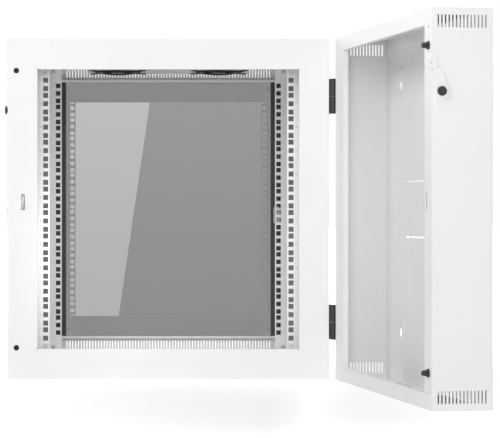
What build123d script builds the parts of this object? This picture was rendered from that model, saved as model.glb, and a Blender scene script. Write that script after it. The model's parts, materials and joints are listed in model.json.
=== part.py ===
from build123d import *
from math import asin, atan2, cos, degrees, radians, sin, sqrt
import os

# Casing, in millimetres. Z is up, the wall is the plane Y = 0, and the front faces -Y.
cabinet_width = 600.0
cabinet_height = 635.0
wall_section_depth = 100.0
body_depth = 597.0
seam_gap = 3.0
casing_sheet = 1.5
open_angle = 99.8

# Flanges round the body's rear opening, and round the wall section's, which is wider and taller.
rear_flange_side = 55.5
rear_flange_end = 56.0
wall_flange_free_side = 38.4
wall_flange_end = 25.4
flange_lip_depth = 9.5
corner_nick_length = 6.0
corner_nick_width = 1.8

# Body posts, panels and their laps.
rear_post_depth = 58.0
front_post_depth = 38.5
post_hem = 12.0
panel_sheet = 1.2
panel_gap = 0.5
panel_rim_depth = 10.0
top_side_flange = 12.0
panel_tab_width = 40.0
panel_tab_drop = 8.0
panel_tab_weld = 10.0
panel_tab_inset = 0.3
panel_tab_slope = 1.0
panel_tab_spacing = 340.0

# Front frame round the door.
door_post_width = 53.0
door_strip_height = 40.5
door_return_depth = 20.0
door_return_lip = 9.5
door_stop_lip = 4.0

# Slotted strips above and below the door.
strip_slot_count = 72
strip_slot_pitch = 6.17
strip_slot_width = 1.6
strip_slot_height = 23.0
strip_slot_from_end = 10.5

# Slotted vents in the wall section's side walls.
side_vent_pitch = 6.0
side_vent_width = 2.4
side_vent_height = 20.4
side_vent_from_end = 20.9
side_vent_from_front = 11.0
side_vent_from_wall = 10.5

# Wall fixing and the cable knockout in the back panel.
keyhole_from_side = 93.5
keyhole_from_end = 92.5
keyhole_radius = 9.0
keyhole_neck_width = 7.0
keyhole_neck_length = 14.0
keyhole_pad_width = 35.0
keyhole_pad_height = 60.0
keyhole_pad_thickness = 0.8
keyhole_pad_corner = 6.0
knockout_width = 354.0
knockout_height = 100.0
knockout_slit = 2.0
knockout_joint = 4.0
knockout_end_slit = 29.0

# Brush cable entries in the wall section's top and bottom.
entry_frame_length = 127.0
entry_frame_width = 52.0
entry_frame_from_middle = 73.0
entry_frame_from_wall = 8.4
entry_frame_flange = 2.0
entry_overlap = 4.0
entry_collar_wall = 4.0
entry_fit = 0.2
entry_brush_thickness = 1.2
entry_brush_slit = 8.0

# Cable cut-outs of the body, closed by cover plates.
cover_opening_length = 300.0
cover_opening_width = 60.0
cover_opening_from_rear = 68.0
cover_overlap = 10.0

# Nineteen-inch rails, which stand 450 mm apart with the given width.
rack_unit = 44.45
rack_end_room = 50.0
rail_from_side = 75.0
rail_hole_from_inner = 7.55
rail_face_width = 37.0
rail_sheet = 2.0
rail_flange_depth = 25.0
rail_from_end = 17.5
rail_hole = 9.5
rail_hole_offsets = (6.35, 22.225, 38.1)
rail_end_slot_length = 12.0
rail_end_slot_height = 7.0
rail_end_slot_from_end = 9.0
rear_rail_from_rear = 54.6
front_rail_from_front = 106.2

# Angle brackets and hexagon screws that hold the rails.
bracket_width = 28.0
bracket_inset = 4.0
bracket_height = 36.0
bracket_foot = 26.0
screw_radius = 3.0
screw_clearance = 0.2
screw_head_radius = 5.5
screw_head_height = 3.5

# Fan tray and its two fans.
fan_size = 119.5
fan_thickness = 25.0
fan_from_middle = 105.0
fan_from_rear = 440.0
fan_screw_from_middle = 52.5
fan_tray_drop = 31.0
fan_tray_play = 2.0
fan_bore_radius = 57.0
fan_corner_radius = 6.0
fan_hub_radius = 20.0
fan_hub_height = 18.0
fan_blade_count = 5
fan_blade_radius = 54.5
fan_blade_thickness = 1.6
fan_blade_root_sink = 2.0
fan_blade_root_chord = 20.0
fan_blade_tip_chord = 32.0
fan_blade_root_pitch = 42.0
fan_blade_tip_pitch = 30.0
fan_motor_cup_radius = 22.0
fan_motor_cup_height = 4.0
fan_strut_width = 5.0
fan_strut_root = 0.5
fan_end_gap = 1.0
fan_axle_radius = 3.0
fan_axle_clearance = 0.05
guard_wire = 2.0
guard_ring_radii = (18.0, 32.0, 46.0)
guard_foot_radius = 50.0
guard_dome = 4.4
guard_pad_width = 9.0
ceiling_slot_count = 9
ceiling_slot_pitch = 11.0
ceiling_slot_width = 5.0
ceiling_vent_radius = 52.0

# Lift-off hinges between the wall section and the body.
hinge_offset = 8.9
hinge_height = 65.0
hinge_from_end = 106.5
hinge_leaf_thickness = 3.0
hinge_leaf_width = 28.0
hinge_leaf_start = 0.2
hinge_leaf_corner = 3.0
hinge_knuckle_radius = 5.3
hinge_knuckle_gap = 0.4
hinge_web_reach = 12.0
hinge_pin_radius = 2.5
hinge_pin_clearance = 0.05
hinge_pin_end = 4.0
hinge_pin_head_gap = 0.3

# Alignment pegs of the wall section and their holes in the body.
peg_from_side = 16.0
peg_from_end = 58.5
peg_collar_radius = 6.8
peg_collar_height = 2.7
peg_nose_radius = 4.7
peg_nose_length = 8.0
peg_tip_radius = 3.4
peg_length = 11.5
peg_stem_radius = 4.0
peg_head_radius = 5.5
peg_head_height = 2.0
peg_head_bevel = 1.0
peg_hole_clearance = 0.5

# Swinging hasp on the wall section and its stud on the body.
hasp_from_end = 131.5
hasp_from_edge = 15.9
hasp_lean = 69.4
hasp_half_width = 12.5
hasp_foot = 14.0
hasp_shoulder = 37.0
hasp_thickness = 2.0
hasp_lift = 0.4
hasp_ear_distance = 47.5
hasp_ear_radius = 9.5
hasp_ear_hole_radius = 1.8
hasp_neck_width = 12.4
hasp_notch_depth = 8.5
hasp_notch_sweep = 40.0
hasp_corner = 4.0
hasp_pivot_radius = 4.0
hasp_pivot_clearance = 0.05
hasp_cap_radius = 7.5
hasp_cap_height = 3.2
hasp_cap_bevel = 0.6
stud_head_radius = 7.75
stud_head_height = 3.2
stud_head_bevel = 1.0
stud_neck_radius = 4.4
stud_head_gap = 0.4
stud_clearance = 0.5
stud_screw_radius = 3.0
inner_nut_radius = 6.5
inner_nut_height = 4.0

# Key lock with a hook that passes through both flanges.
lock_from_rear = 22.0
hook_from_side = 28.5
hook_thickness = 2.5
hook_slot_width = 6.5
hook_slot_top = 28.3
hook_slot_bottom = -1.6
hook_raised_angle = 36.0
hook_shank_bottom = 2.0
hook_shank_top = 9.0
hook_nose_drop = 17.6
hook_nose_thickness = 4.0
hook_nose_slant = 4.5
hook_play = 0.5
hook_boss_radius = 9.0
lock_face_radius = 10.0
lock_face_height = 2.4
lock_face_bevel = 1.4
lock_barrel_radius = 7.0
lock_plug_radius = 5.0
lock_plug_clearance = 0.05
lock_end_radius = 3.5
lock_end_length = 1.0
lock_key_slot_length = 6.0
lock_key_slot_width = 1.2
lock_key_slot_depth = 4.0
lock_nut_radius = 10.5
lock_nut_height = 3.0

# Quarter-turn locks of the side panels.
panel_lock_from_end = 32.5
panel_cam_reach = 26.0
panel_cam_width = 12.0
panel_cam_thickness = 2.0
panel_cam_gap = 0.6

# Glass door.
door_side_gap = 3.0
door_end_gap = 1.2
door_profile_width = 23.2
door_profile_depth = 16.0
door_profile_wall = 1.5
door_glass_thickness = 4.0
door_glass_inset = 1.8
door_glass_capture = 4.0
door_glass_play = 0.2
door_glass_from_end = 0.3
door_pivot_radius = 3.0
door_pivot_clearance = 0.08
door_pivot_length = 5.0
door_cap_thickness = 2.0
door_lock_from_edge = 11.0
door_cam_reach = 30.0
door_cam_width = 14.0
door_cam_thickness = 2.0
door_cam_gap = 0.4

# Places that follow from the sizes above.
half_width = cabinet_width / 2
half_height = cabinet_height / 2
inner_half_width = half_width - casing_sheet
inner_half_height = half_height - casing_sheet
wall_front_y = -wall_section_depth
body_rear_y = wall_front_y - seam_gap
body_front_y = body_rear_y - body_depth
opening_half_width = half_width - rear_flange_side
opening_half_height = half_height - rear_flange_end
wall_opening_free_x = half_width - wall_flange_free_side
wall_opening_half_height = half_height - wall_flange_end
side_vent_run = wall_section_depth - side_vent_from_front - side_vent_from_wall
side_vent_count = int(side_vent_run / side_vent_pitch) + 1
keyhole_x = half_width - keyhole_from_side
keyhole_z = half_height - keyhole_from_end
hinge_x = -half_width - hinge_offset
hinge_y = (wall_front_y + body_rear_y) / 2
hinge_z = half_height - hinge_from_end
rear_post_end_y = body_rear_y - rear_post_depth
front_post_end_y = body_front_y + casing_sheet + front_post_depth
fan_y = body_rear_y - fan_from_rear
fan_tray_bottom = half_height - fan_tray_drop
fan_floor = fan_tray_bottom + casing_sheet
rack_units = int((cabinet_height - 2 * rack_end_room) / rack_unit)
rail_inner_half = half_width - rail_from_side
rail_hole_half = rail_inner_half + rail_hole_from_inner
rail_half_length = half_height - rail_from_end
rail_screw_x = rail_inner_half + bracket_inset + bracket_width / 2
rail_screw_z = rail_half_length - rail_end_slot_from_end
rear_rail_y = body_rear_y - rear_rail_from_rear
front_rail_y = body_front_y + front_rail_from_front
door_opening_half_width = half_width - door_post_width
door_opening_half_height = half_height - door_strip_height
door_half_width = door_opening_half_width - door_side_gap
door_half_height = door_opening_half_height - door_end_gap
door_pivot_x = door_half_width - door_profile_depth / 2
door_pivot_y = body_front_y + door_profile_depth / 2
door_lock_x = door_half_width - door_lock_from_edge
peg_x = half_width - peg_from_side
peg_z = half_height - peg_from_end
hasp_y = wall_front_y + hasp_from_edge
hasp_z = half_height - hasp_from_end
stud_y = body_rear_y - hasp_from_edge
stud_distance = hasp_y - stud_y
stud_neck_height = hasp_lift + hasp_thickness + stud_head_gap
lock_y = body_rear_y - lock_from_rear
hook_x = half_width - hook_from_side
panel_lock_z = half_height - panel_lock_from_end

# How far a cutting shape runs past the faces that it cuts.
cut_over = 1.0


def block(x0, x1, y0, y1, z0, z1):
    """A box given by its two corners."""
    centre = Pos((x0 + x1) / 2, (y0 + y1) / 2, (z0 + z1) / 2)
    return centre * Box(abs(x1 - x0), abs(y1 - y0), abs(z1 - z0))


def rod_x(radius, x0, x1, y, z):
    """A round bar along X."""
    return Pos((x0 + x1) / 2, y, z) * Rot(0, 90, 0) * Cylinder(radius, abs(x1 - x0))


def rod_y(radius, x, y0, y1, z):
    """A round bar along Y."""
    return Pos(x, (y0 + y1) / 2, z) * Rot(90, 0, 0) * Cylinder(radius, abs(y1 - y0))


def rod_z(radius, x, y, z0, z1):
    """A round bar along Z."""
    return Pos(x, y, (z0 + z1) / 2) * Cylinder(radius, abs(z1 - z0))


def flange_ring(face_y, inward, free_x, half_tall):
    """A folded flange with its opening, the lips round it and the nicks at its corners."""
    sheet = inward * casing_sheet
    lip = inward * flange_lip_depth
    hinge_side_x = -opening_half_width
    plate = block(-half_width, half_width, face_y, face_y + sheet, -half_height, half_height)
    edge_z = half_tall + casing_sheet
    ring = plate + block(hinge_side_x - casing_sheet, free_x + casing_sheet, face_y, face_y + lip,
                         -edge_z, edge_z)
    reach = 2 * lip
    ring -= block(hinge_side_x, free_x, face_y - reach, face_y + reach, -half_tall, half_tall)
    for x, side in ((hinge_side_x, -1), (free_x, 1)):
        for end in (-1, 1):
            nick = Box(corner_nick_length, 4 * casing_sheet, corner_nick_width)
            ring -= Pos(x, face_y, end * half_tall) * Rot(0, -45 * side * end, 0) * nick
    return ring


def wall_frame():
    """Four walls of the shallow section on the wall, with its front flange."""
    back_y = -casing_sheet
    walls = block(-half_width, half_width, wall_front_y, back_y, -half_height, half_height)
    walls -= block(-inner_half_width, inner_half_width, wall_front_y - cut_over, back_y + cut_over,
                   -inner_half_height, inner_half_height)
    frame = walls + flange_ring(wall_front_y, 1, wall_opening_free_x, wall_opening_half_height)
    slots = []
    slot = Box(4 * casing_sheet, side_vent_width, side_vent_height)
    for index in range(side_vent_count):
        slot_y = wall_front_y + side_vent_from_front + index * side_vent_pitch
        for side in (-1, 1):
            for end in (-1, 1):
                slot_z = end * (half_height - side_vent_from_end)
                slots.append(Pos(side * half_width, slot_y, slot_z) * slot)
    frame -= slots
    for centre_x, centre_y, end in entry_places():
        hole_length = entry_frame_length - 2 * entry_overlap
        hole_width = entry_frame_width - 2 * entry_overlap
        cutter = Box(hole_length, hole_width, 6 * casing_sheet)
        frame -= Pos(centre_x, centre_y, end * half_height) * cutter
    frame -= hook_slot(wall_front_y)
    for end in (-1, 1):
        frame -= rod_y(peg_stem_radius, peg_x,
                       wall_front_y - cut_over, wall_front_y + casing_sheet + cut_over,
                       end * peg_z)
    frame -= rod_x(hasp_pivot_radius, inner_half_width - cut_over, half_width + cut_over, hasp_y, hasp_z)
    return frame


def hook_slot(face_y):
    """The upright slot that the lock's hook passes through, in either flange."""
    return block(hook_x - hook_slot_width / 2, hook_x + hook_slot_width / 2,
                 face_y - 2 * casing_sheet, face_y + 2 * casing_sheet,
                 hook_slot_bottom, hook_slot_top)


def wall_back_panel():
    """The sheet against the wall, with four keyholes and a slit-outlined cable knockout."""
    panel = block(-half_width, half_width, -casing_sheet, 0, -half_height, half_height)
    pads = []
    holes = []
    depth = 8 * casing_sheet
    for side in (-1, 1):
        for end in (-1, 1):
            x = side * keyhole_x
            z = end * keyhole_z
            outline = RectangleRounded(keyhole_pad_width, keyhole_pad_height, keyhole_pad_corner)
            pad = extrude(Plane.XZ * outline, keyhole_pad_thickness)
            pads.append(Pos(x, -casing_sheet, z + keyhole_neck_length / 3) * pad)
            holes.append(rod_y(keyhole_radius, x, -depth, depth, z))
            neck_top = z + keyhole_radius + keyhole_neck_length - keyhole_neck_width / 2
            holes.append(block(x - keyhole_neck_width / 2, x + keyhole_neck_width / 2,
                               -depth, depth, z, neck_top))
            holes.append(rod_y(keyhole_neck_width / 2, x, -depth, depth, neck_top))
    panel += pads
    panel -= holes
    middle_half = knockout_width / 2 - knockout_end_slit - knockout_joint
    ends = ((-knockout_width / 2, -middle_half - knockout_joint), (-middle_half, middle_half),
            (middle_half + knockout_joint, knockout_width / 2))
    slits = []
    for end in (-1, 1):
        z = end * knockout_height / 2
        for x0, x1 in ends:
            slits.append(block(x0, x1, -depth, depth, z - knockout_slit / 2, z + knockout_slit / 2))
    for side in (-1, 1):
        x = side * (knockout_width - knockout_slit) / 2
        for end in (-1, 1):
            z0 = end * knockout_joint / 2
            z1 = end * (knockout_height / 2 - knockout_joint)
            slits.append(block(x - knockout_slit / 2, x + knockout_slit / 2, -depth, depth, z0, z1))
    panel -= slits
    return panel


def entry_places():
    """Centres of the four brush entries, with the end of the section that each is in."""
    x = entry_frame_from_middle + entry_frame_length / 2
    y = -entry_frame_from_wall - entry_frame_width / 2
    return [(side * x, y, end) for side in (-1, 1) for end in (-1, 1)]


def entry_frames():
    """Moulded frames clipped into the cable cut-outs, flange inside."""
    frames = []
    collar_length = entry_frame_length - 2 * entry_overlap - 2 * entry_fit
    collar_width = entry_frame_width - 2 * entry_overlap - 2 * entry_fit
    hole_length = collar_length - 2 * entry_collar_wall
    hole_width = collar_width - 2 * entry_collar_wall
    for x, y, end in entry_places():
        flange_z = end * (inner_half_height - entry_frame_flange / 2)
        collar_z = end * (inner_half_height + casing_sheet / 2)
        frame = Pos(x, y, flange_z) * Box(entry_frame_length, entry_frame_width, entry_frame_flange)
        frame += Pos(x, y, collar_z) * Box(collar_length, collar_width, casing_sheet)
        frame -= Pos(x, y, flange_z) * Box(hole_length, hole_width, 6 * casing_sheet)
        frames.append(frame)
    return frames


def entry_brushes():
    """Two rows of bristles in each entry, meeting at a slit."""
    brushes = []
    length = entry_frame_length - 2 * (entry_overlap + entry_fit + entry_collar_wall)
    width = entry_frame_width - 2 * (entry_overlap + entry_fit + entry_collar_wall)
    row = (width - entry_brush_slit) / 2
    for x, y, end in entry_places():
        z = end * inner_half_height
        for side in (-1, 1):
            row_y = y + side * (entry_brush_slit + row) / 2
            brushes.append(Pos(x, row_y, z) * Box(length, row, entry_brush_thickness))
    return brushes


def alignment_pegs():
    """Pegs on the wall section's flange: a stem with a snap head, a collar and a tapered nose."""
    pegs = []
    for end in (-1, 1):
        inner_y = wall_front_y + casing_sheet
        profile = [
            (0, inner_y + peg_head_height),
            (peg_head_radius - peg_head_bevel, inner_y + peg_head_height),
            (peg_head_radius, inner_y),
            (peg_stem_radius, inner_y),
            (peg_stem_radius, wall_front_y),
            (peg_collar_radius, wall_front_y),
            (peg_collar_radius, wall_front_y - peg_collar_height),
            (peg_nose_radius, wall_front_y - peg_collar_height),
            (peg_nose_radius, wall_front_y - peg_nose_length),
            (peg_tip_radius, wall_front_y - peg_length),
            (0, wall_front_y - peg_length),
        ]
        peg = revolve(make_face(Polyline(*profile, close=True)), Axis.Y)
        pegs.append(Pos(peg_x, 0, end * peg_z) * peg)
    return pegs


def hinge_half(upper, wall_side):
    """One half of a lift-off hinge about the Z axis: leaf, web and its knuckle."""
    way = 1 if wall_side else -1
    leaf_in = hinge_offset - hinge_leaf_thickness
    start = seam_gap / 2 + hinge_leaf_start
    leaf = RectangleRounded(hinge_leaf_width, hinge_height, hinge_leaf_corner)
    leaf = extrude(Plane.YZ * leaf, hinge_leaf_thickness)
    leaf = Pos(leaf_in, way * (start + hinge_leaf_width / 2), 0) * leaf
    low = hinge_knuckle_gap / 2 if upper else -hinge_height / 2
    high = hinge_height / 2 if upper else -hinge_knuckle_gap / 2
    web = Polygon((0, way * hinge_knuckle_radius), (leaf_in, way * (start + hinge_web_reach)),
                  (hinge_offset, way * (start + hinge_web_reach)), (hinge_offset, way * start),
                  (leaf_in, way * start), (0, 0), align=None)
    web = Pos(0, 0, low) * extrude(web, high - low, dir=(0, 0, 1))
    knuckle = rod_z(hinge_knuckle_radius, 0, 0, low, high)
    bore = hinge_pin_radius + (hinge_pin_clearance if upper else 0)
    reach = hinge_height / 2 - hinge_pin_end
    return leaf + web + knuckle - rod_z(bore, 0, 0, -reach, reach)


def hinge_leaves(wall_side):
    """The two leaves on one side of the seam. The body's knuckles stand on the wall section's."""
    halves = []
    for end in (-1, 1):
        half = hinge_half(upper=not wall_side, wall_side=wall_side)
        halves.append(Pos(hinge_x, hinge_y, end * hinge_z) * half)
    return halves


def hinge_pins():
    """Pins held in the lower knuckles, on which the upper ones turn."""
    low = hinge_pin_end - hinge_height / 2
    high = hinge_height / 2 - hinge_pin_end - hinge_pin_head_gap
    places = [end * hinge_z for end in (-1, 1)]
    return [rod_z(hinge_pin_radius, hinge_x, hinge_y, z + low, z + high) for z in places]


def hasp_pivot():
    """Round black cap, its pin through the arm and the wall, and the nut inside."""
    under_cap = half_width + hasp_lift + hasp_thickness + hasp_lift
    cap = rod_x(hasp_cap_radius, under_cap, under_cap + hasp_cap_height, hasp_y, hasp_z)
    cap = chamfer(cap.edges().group_by(Axis.X)[-1], hasp_cap_bevel)
    pin = rod_x(hasp_pivot_radius, inner_half_width - inner_nut_height, under_cap, hasp_y, hasp_z)
    nut = extrude(Plane.YZ * RegularPolygon(inner_nut_radius, 6), inner_nut_height)
    nut = Pos(inner_half_width - inner_nut_height, hasp_y, hasp_z) * nut
    return cap + pin + nut


def hasp_arm():
    """The leaning arm: a plate with an arc notch for the stud and a round ear to pull it by."""
    outline = Polygon((-hasp_half_width, -hasp_foot), (hasp_half_width, -hasp_foot),
                      (hasp_half_width, hasp_shoulder - hasp_half_width / 2),
                      (hasp_half_width / 2, hasp_shoulder),
                      (-hasp_half_width, hasp_shoulder), align=None)
    outline = fillet(outline.vertices(), hasp_corner)
    neck = Rectangle(hasp_neck_width, hasp_ear_distance - hasp_shoulder + hasp_corner)
    outline += Pos(0, (hasp_ear_distance + hasp_shoulder - hasp_corner) / 2) * neck
    outline += Pos(0, hasp_ear_distance) * Circle(hasp_ear_radius)
    plate = extrude(outline, hasp_thickness)
    slot_half = stud_neck_radius + stud_clearance
    seat_side = -hasp_half_width + hasp_notch_depth
    seat_height = sqrt(stud_distance ** 2 - seat_side ** 2)
    lead = degrees(atan2(-seat_side, seat_height))
    track = Circle(stud_distance + slot_half) - Circle(stud_distance - slot_half)
    reach = 2 * stud_distance
    sweep = lead + hasp_notch_sweep
    wedge = Polygon((0, 0), (-reach * sin(radians(lead)), reach * cos(radians(lead))),
                    (-reach * sin(radians(sweep)), reach * cos(radians(sweep))), align=None)
    notch = track & wedge
    notch += Pos(seat_side, seat_height) * Circle(slot_half)
    plate -= Pos(0, 0, -hasp_thickness) * extrude(notch, 4 * hasp_thickness)
    plate -= Pos(0, hasp_ear_distance) * Cylinder(hasp_ear_hole_radius, 8 * hasp_thickness)
    plate -= Cylinder(hasp_pivot_radius + hasp_pivot_clearance, 8 * hasp_thickness)
    standing = Rot(90 - hasp_lean, 0, 0) * (Plane.YZ * plate)
    return Pos(half_width + hasp_lift, hasp_y, hasp_z) * standing


def hasp_latch_angle():
    """Swing that brings the notch down onto the stud, level with the pivot."""
    seat_side = hasp_half_width - hasp_notch_depth
    return hasp_lean - degrees(asin(seat_side / stud_distance))


def keeper_stud():
    """Black mushroom stud on the body's free side, which the hasp's notch drops over."""
    stud = rod_x(stud_neck_radius, half_width, half_width + stud_neck_height, stud_y, hasp_z)
    head_x = half_width + stud_neck_height
    head = rod_x(stud_head_radius, head_x, head_x + stud_head_height, stud_y, hasp_z)
    head = chamfer(head.edges().group_by(Axis.X)[-1], stud_head_bevel)
    stem = rod_x(stud_screw_radius, inner_half_width - inner_nut_height, half_width, stud_y, hasp_z)
    nut = extrude(Plane.YZ * RegularPolygon(inner_nut_radius, 6), inner_nut_height)
    nut = Pos(inner_half_width - inner_nut_height, stud_y, hasp_z) * nut
    return stud + head + stem + nut


def posts(end_y, face_y):
    """Side strips of a frame, with the inward hem at their free edge."""
    parts = []
    hem = casing_sheet if end_y < face_y else -casing_sheet
    for side in (-1, 1):
        parts.append(block(side * inner_half_width, side * half_width, end_y, face_y,
                           -inner_half_height, inner_half_height))
        parts.append(block(side * (half_width - post_hem), side * half_width, end_y, end_y + hem,
                           -inner_half_height, inner_half_height))
    return parts


def rear_frame():
    """Rear flange of the body with its side posts."""
    frame = flange_ring(body_rear_y, -1, opening_half_width, opening_half_height)
    frame += posts(rear_post_end_y, body_rear_y - casing_sheet)
    frame -= hook_slot(body_rear_y)
    for end in (-1, 1):
        frame -= rod_y(peg_nose_radius + peg_hole_clearance, peg_x, body_rear_y - 2 * casing_sheet,
                       body_rear_y + casing_sheet, end * peg_z)
    frame -= rod_x(lock_barrel_radius, inner_half_width - cut_over, half_width + cut_over, lock_y, 0)
    frame -= rod_x(stud_screw_radius, inner_half_width - cut_over, half_width + cut_over, stud_y, hasp_z)
    return frame


def front_frame():
    """Front of the body: slotted strips, folded edges round the door and stop lips for its ends."""
    inside_y = body_front_y + casing_sheet
    back_y = body_front_y + door_return_depth
    frame = block(-half_width, half_width, body_front_y, inside_y, -half_height, half_height)
    edge_x = door_opening_half_width + casing_sheet
    lip_y = back_y - casing_sheet
    edge_z = door_opening_half_height + casing_sheet
    lip_x = door_opening_half_width + door_return_lip
    stop_z = door_opening_half_height - door_stop_lip
    frame += block(-edge_x, edge_x, inside_y, back_y, -edge_z, edge_z)
    frame += block(-lip_x, lip_x, lip_y, back_y, -edge_z, edge_z)
    frame -= block(-door_opening_half_width, door_opening_half_width, body_front_y - cut_over, lip_y,
                   -door_opening_half_height, door_opening_half_height)
    frame -= block(-door_opening_half_width, door_opening_half_width,
                   lip_y, back_y + cut_over, -stop_z, stop_z)
    frame += posts(front_post_end_y, inside_y)
    slots = []
    slot = Box(strip_slot_width, 4 * casing_sheet, strip_slot_height)
    slot_z = half_height - strip_slot_from_end - strip_slot_height / 2
    for index in range(strip_slot_count):
        x = (index - (strip_slot_count - 1) / 2) * strip_slot_pitch
        for end in (-1, 1):
            slots.append(Pos(x, body_front_y, end * slot_z) * slot)
    frame -= slots
    bore = door_pivot_radius + door_pivot_clearance
    frame -= rod_z(bore, door_pivot_x, door_pivot_y, -edge_z - cut_over, edge_z + cut_over)
    return frame


def end_panel(end):
    """Top or bottom sheet of the body, with side flanges and its cable cut-out."""
    inner_z = end * inner_half_height
    outer_z = end * half_height
    front_y = body_front_y + casing_sheet
    rear_y = body_rear_y - casing_sheet
    panel = block(-half_width, half_width, front_y, rear_y, inner_z, outer_z)
    for side in (-1, 1):
        panel += block(side * inner_half_width, side * half_width, front_post_end_y, rear_post_end_y,
                       inner_z, inner_z - end * top_side_flange)
    cut_rear_y = body_rear_y - cover_opening_from_rear
    panel -= block(-cover_opening_length / 2, cover_opening_length / 2,
                   cut_rear_y - cover_opening_width, cut_rear_y, inner_z - end * cut_over,
                   outer_z + end * cut_over)
    return panel


def top_panel():
    """Top sheet, slotted over the fans."""
    panel = end_panel(1)
    slots = []
    for side in (-1, 1):
        for index in range(ceiling_slot_count):
            offset = (index - (ceiling_slot_count - 1) / 2) * ceiling_slot_pitch
            length = 2 * sqrt(ceiling_vent_radius ** 2 - offset ** 2)
            slot = Box(ceiling_slot_width, length, 6 * casing_sheet)
            slots.append(Pos(side * fan_from_middle + offset, fan_y, half_height) * slot)
    return panel - slots


def cable_cover(end):
    """Plate that closes the body's cable cut-out from inside."""
    rear_y = body_rear_y - cover_opening_from_rear + cover_overlap
    front_y = rear_y - cover_opening_width - 2 * cover_overlap
    half_length = cover_opening_length / 2 + cover_overlap
    return block(-half_length, half_length, front_y, rear_y,
                 end * inner_half_height, end * (inner_half_height - panel_sheet))


def side_panel(side):
    """Removable side sheet: rims folded in at its upright edges, and tabs at the bottom."""
    front_y = front_post_end_y + panel_gap
    rear_y = rear_post_end_y - panel_gap
    half_tall = inner_half_height - top_side_flange - panel_gap
    inner_x = half_width - panel_sheet
    panel = block(inner_x, half_width, front_y, rear_y, -half_tall, half_tall)
    rim_x = inner_x - panel_rim_depth
    panel += block(rim_x, inner_x, front_y, front_y + panel_sheet, -half_tall, half_tall)
    panel += block(rim_x, inner_x, rear_y - panel_sheet, rear_y, -half_tall, half_tall)
    tab_out = inner_half_width - panel_tab_inset
    tab_in = tab_out - panel_sheet
    foot = -half_tall - panel_tab_drop
    top = -half_tall + panel_tab_weld
    tab = Polygon((inner_x, top), (tab_in, top), (tab_in, foot), (tab_out, foot),
                  (tab_out, -half_tall), (inner_x, -half_tall + panel_tab_slope), align=None)
    tab = extrude(Plane.XZ * tab, panel_tab_width / 2, both=True)
    middle_y = (front_y + rear_y) / 2
    for way in (-1, 1):
        panel += Pos(0, middle_y + way * panel_tab_spacing / 2, 0) * tab
    panel -= rod_x(lock_barrel_radius, inner_x - cut_over, half_width + cut_over, middle_y, panel_lock_z)
    return panel if side > 0 else mirror(panel, Plane.YZ)


def rail(side, face_y, way):
    """One nineteen-inch rail: punched face, flange along its outer edge, slots at its ends."""
    outer = rail_inner_half + rail_face_width
    profile = block(rail_inner_half, outer, face_y, face_y - rail_sheet, -rail_half_length, rail_half_length)
    flange_end = face_y + rail_flange_depth if way > 0 else face_y - rail_sheet - rail_flange_depth
    flange_start = face_y - rail_sheet if way > 0 else face_y
    profile += block(outer - rail_sheet, outer, flange_start, flange_end,
                     -rail_half_length, rail_half_length)
    cuts = []
    through = 6 * rail_sheet
    bottom = -rack_units * rack_unit / 2
    for unit in range(rack_units):
        for offset in rail_hole_offsets:
            z = bottom + unit * rack_unit + offset
            cuts.append(Pos(rail_hole_half, face_y, z) * Box(rail_hole, through, rail_hole))
    for end in (-1, 1):
        slot = Box(rail_end_slot_length, through, rail_end_slot_height)
        cuts.append(Pos(rail_screw_x, face_y, end * rail_screw_z) * slot)
    profile -= cuts
    return profile if side > 0 else mirror(profile, Plane.YZ)


def rail_stations():
    """Where each rail end is fixed: side, end and the bracket's face."""
    faces = (rear_rail_y - rail_sheet, front_rail_y - rail_sheet)
    return [(side, end, face) for side in (-1, 1) for end in (-1, 1) for face in faces]


def rail_brackets():
    """Angles between the rail ends and the top or bottom sheet."""
    brackets = []
    for side, end, face in rail_stations():
        x0 = rail_screw_x - bracket_width / 2
        x1 = rail_screw_x + bracket_width / 2
        top = end * inner_half_height
        angle = block(x0, x1, face - rail_sheet, face, top - end * bracket_height, top)
        angle += block(x0, x1, face - bracket_foot, face, top - end * rail_sheet, top)
        angle -= rod_y(screw_radius + screw_clearance, rail_screw_x, face - 2 * rail_sheet, face + cut_over,
                       end * rail_screw_z)
        brackets.append(angle if side > 0 else mirror(angle, Plane.YZ))
    return brackets


def rail_screws():
    """Screws that hold the rails on their brackets, heads to the front."""
    screws = []
    head = extrude(Plane.XZ * RegularPolygon(screw_head_radius, 6), screw_head_height)
    for side, end, face in rail_stations():
        z = end * rail_screw_z
        x = side * rail_screw_x
        back = face - rail_sheet
        shank = rod_y(screw_radius, x, back, face + rail_sheet, z)
        screws.append(shank + Pos(x, back, z) * head)
    return screws


def fan_tray():
    """Steel tray under the ceiling that holds both fans side by side."""
    half_length = fan_from_middle + fan_size / 2 + fan_tray_play
    half_deep = fan_size / 2 + fan_tray_play
    tray = block(-half_length, half_length, fan_y - half_deep, fan_y + half_deep,
                 fan_tray_bottom, inner_half_height)
    tray -= block(casing_sheet - half_length, half_length - casing_sheet,
                  fan_y - half_deep + casing_sheet, fan_y + half_deep - casing_sheet,
                  fan_tray_bottom + casing_sheet, inner_half_height + cut_over)
    for side in (-1, 1):
        tray -= rod_z(fan_bore_radius, side * fan_from_middle, fan_y,
                      fan_tray_bottom - cut_over, fan_tray_bottom + casing_sheet + cut_over)
    return tray


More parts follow.
